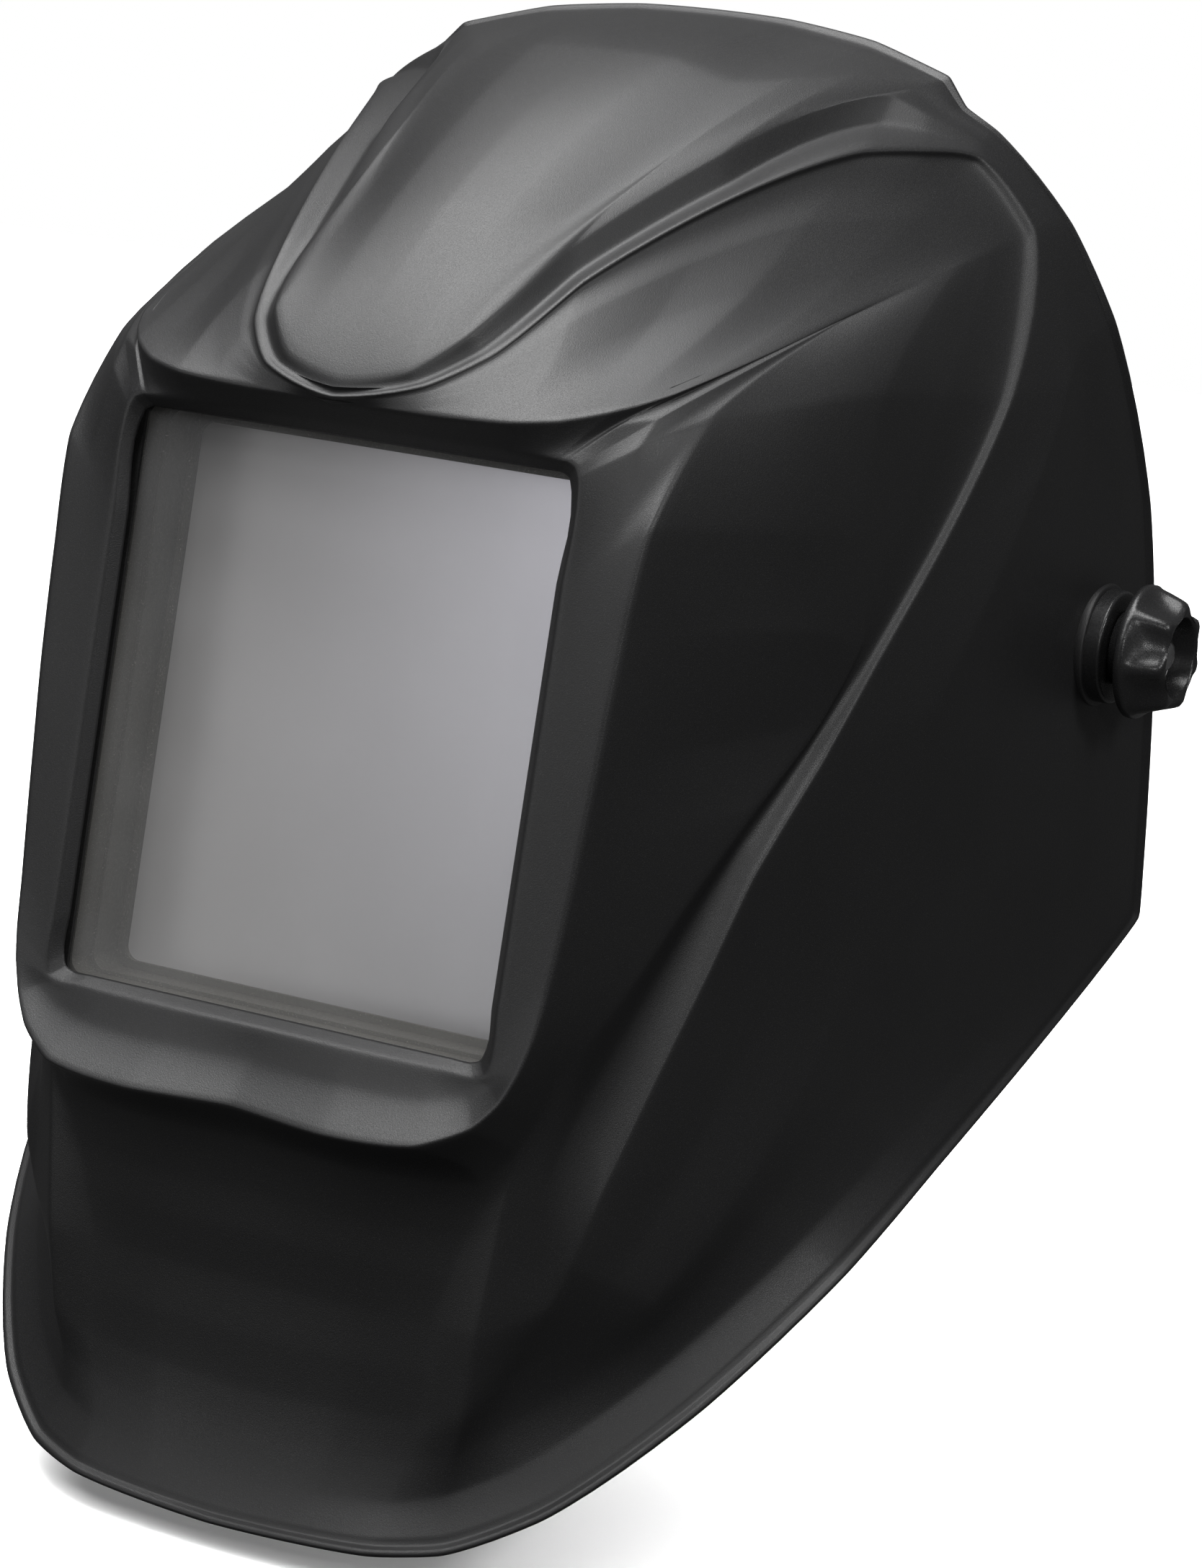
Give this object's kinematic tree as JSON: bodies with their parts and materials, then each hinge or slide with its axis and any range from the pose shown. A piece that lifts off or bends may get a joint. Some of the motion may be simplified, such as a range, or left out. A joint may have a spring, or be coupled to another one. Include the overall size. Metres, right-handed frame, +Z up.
{
  "type": "welding helmet",
  "caption": "Flip-up welding helmet: moulded shell with framed portrait window, cover and shade lenses, tension knobs and adjustable ratchet headgear.",
  "frame": {"origin": "middle of the pivot axis through the two tension knobs, helmet down", "axes": "+Z up, -Y the way the wearer looks, +X to the wearer's left"},
  "size_m": [0.2604, 0.336, 0.3452],
  "materials": {
    "shell_nylon": "fine-grained satin black nylon",
    "knob_nylon": "satin black nylon",
    "holder_plastic": "matt dark moulded plastic",
    "clear_polycarbonate": "clear polished",
    "shade_filter": "dark reflective filter plate",
    "rubber_black": "matt",
    "zinc_steel": "zinc plated",
    "brass_insert": "turned",
    "acetal": "smooth black acetal",
    "headgear_plastic": "satin black polyethylene",
    "pad_fabric": "perforated foam-backed knit"
  },
  "bodies": {
    "headgear": {"headband_front": "headgear_plastic", "left_side_bracket": "headgear_plastic", "right_side_bracket": "headgear_plastic", "left_bracket_rivets": "zinc_steel", "right_bracket_rivets": "zinc_steel", "sweatband": "pad_fabric", "strap_loops": "headgear_plastic", "band_guides": "headgear_plastic"},
    "crown": {"crown_strap_front": "headgear_plastic", "crown_strap_rear": "headgear_plastic", "crown_bridge": "headgear_plastic"},
    "pivots": {"left_slide_block": "acetal", "right_slide_block": "acetal", "left_stud": "zinc_steel", "right_stud": "zinc_steel", "left_inner_washer": "rubber_black", "right_inner_washer": "rubber_black", "left_pivot_bush": "acetal", "right_pivot_bush": "acetal"},
    "tilt_stop": {"tilt_stop_disc": "acetal"},
    "shell": {"helmet_shell": "shell_nylon", "left_collar": "knob_nylon", "right_collar": "knob_nylon", "lens_gasket": "rubber_black", "front_cover_lens": "clear_polycarbonate", "lens_holder": "holder_plastic", "holder_clips": "holder_plastic", "filter_lens": "shade_filter", "inner_cover_lens": "clear_polycarbonate", "lens_retainer": "holder_plastic", "latch_screws": "zinc_steel"},
    "left_latch": {"left_lens_latch": "holder_plastic"},
    "right_latch": {"right_lens_latch": "holder_plastic"},
    "left_knob": {"left_tension_knob": "knob_nylon", "left_knob_insert": "brass_insert"},
    "right_knob": {"right_tension_knob": "knob_nylon", "right_knob_insert": "brass_insert"},
    "rear_cradle": {"rear_band": "headgear_plastic", "rear_pad": "pad_fabric", "ratchet_housing": "headgear_plastic", "ratchet_cover": "headgear_plastic", "cover_screws": "zinc_steel"},
    "ratchet": {"ratchet_knob": "knob_nylon", "ratchet_pinion": "headgear_plastic"},
    "left_rack": {"left_band_rack": "headgear_plastic"},
    "right_rack": {"right_band_rack": "headgear_plastic"}
  },
  "joints": [
    {"name": "crown_height", "type": "slide", "parent": "headgear", "child": "crown", "axis": [0, 0, 1], "range_m": [-0.01, 0.01]},
    {"name": "pivot_fore_aft", "type": "slide", "parent": "headgear", "child": "pivots", "axis": [0, 1, 0], "range_m": [-0.01, 0.01]},
    {"name": "tilt_adjust", "type": "hinge", "parent": "pivots", "child": "tilt_stop", "pos_m": [0, 0, 0], "axis": [-1, 0, 0], "range_deg": [-10, 10]},
    {"name": "shell_flip", "type": "hinge", "parent": "tilt_stop", "child": "shell", "pos_m": [0, 0, 0], "axis": [-1, 0, 0], "range_deg": [0, 78]},
    {"name": "left_latch_turn", "type": "hinge", "parent": "shell", "child": "left_latch", "pos_m": [-0.066, -0.15248, -0.02956], "axis": [0, 0.9976, -0.0698], "range_deg": [0, 90]},
    {"name": "right_latch_turn", "type": "hinge", "parent": "shell", "child": "right_latch", "pos_m": [0.066, -0.15248, -0.02956], "axis": [0, -0.9976, 0.0698], "range_deg": [0, 90]},
    {"name": "left_knob_turn", "type": "hinge", "parent": "pivots", "child": "left_knob", "pos_m": [-0.12, 0, 0], "axis": [-1, 0, 0], "range_deg": [0, 540]},
    {"name": "right_knob_turn", "type": "hinge", "parent": "pivots", "child": "right_knob", "pos_m": [0.12, 0, 0], "axis": [1, 0, 0], "range_deg": [0, 540]},
    {"name": "rear_tighten", "type": "slide", "parent": "headgear", "child": "rear_cradle", "axis": [0, -1, 0], "range_m": [-0.0062, 0.0094]},
    {"name": "ratchet_turn", "type": "hinge", "parent": "rear_cradle", "child": "ratchet", "pos_m": [0, 0.12, -0.029], "axis": [0, -1, 0], "range_deg": [-60, 90.5]},
    {"name": "left_rack_slide", "type": "slide", "parent": "rear_cradle", "child": "left_rack", "axis": [1, 0, 0], "range_m": [-0.0065, 0.0095]},
    {"name": "right_rack_slide", "type": "slide", "parent": "rear_cradle", "child": "right_rack", "axis": [-1, 0, 0], "range_m": [-0.0065, 0.0095]}
  ],
  "couplings": [
    {"joint": "ratchet_turn", "follows": "rear_tighten", "rad_per_m": 166.67},
    {"joint": "left_rack_slide", "follows": "rear_tighten", "ratio": 1},
    {"joint": "right_rack_slide", "follows": "rear_tighten", "ratio": 1}
  ]
}
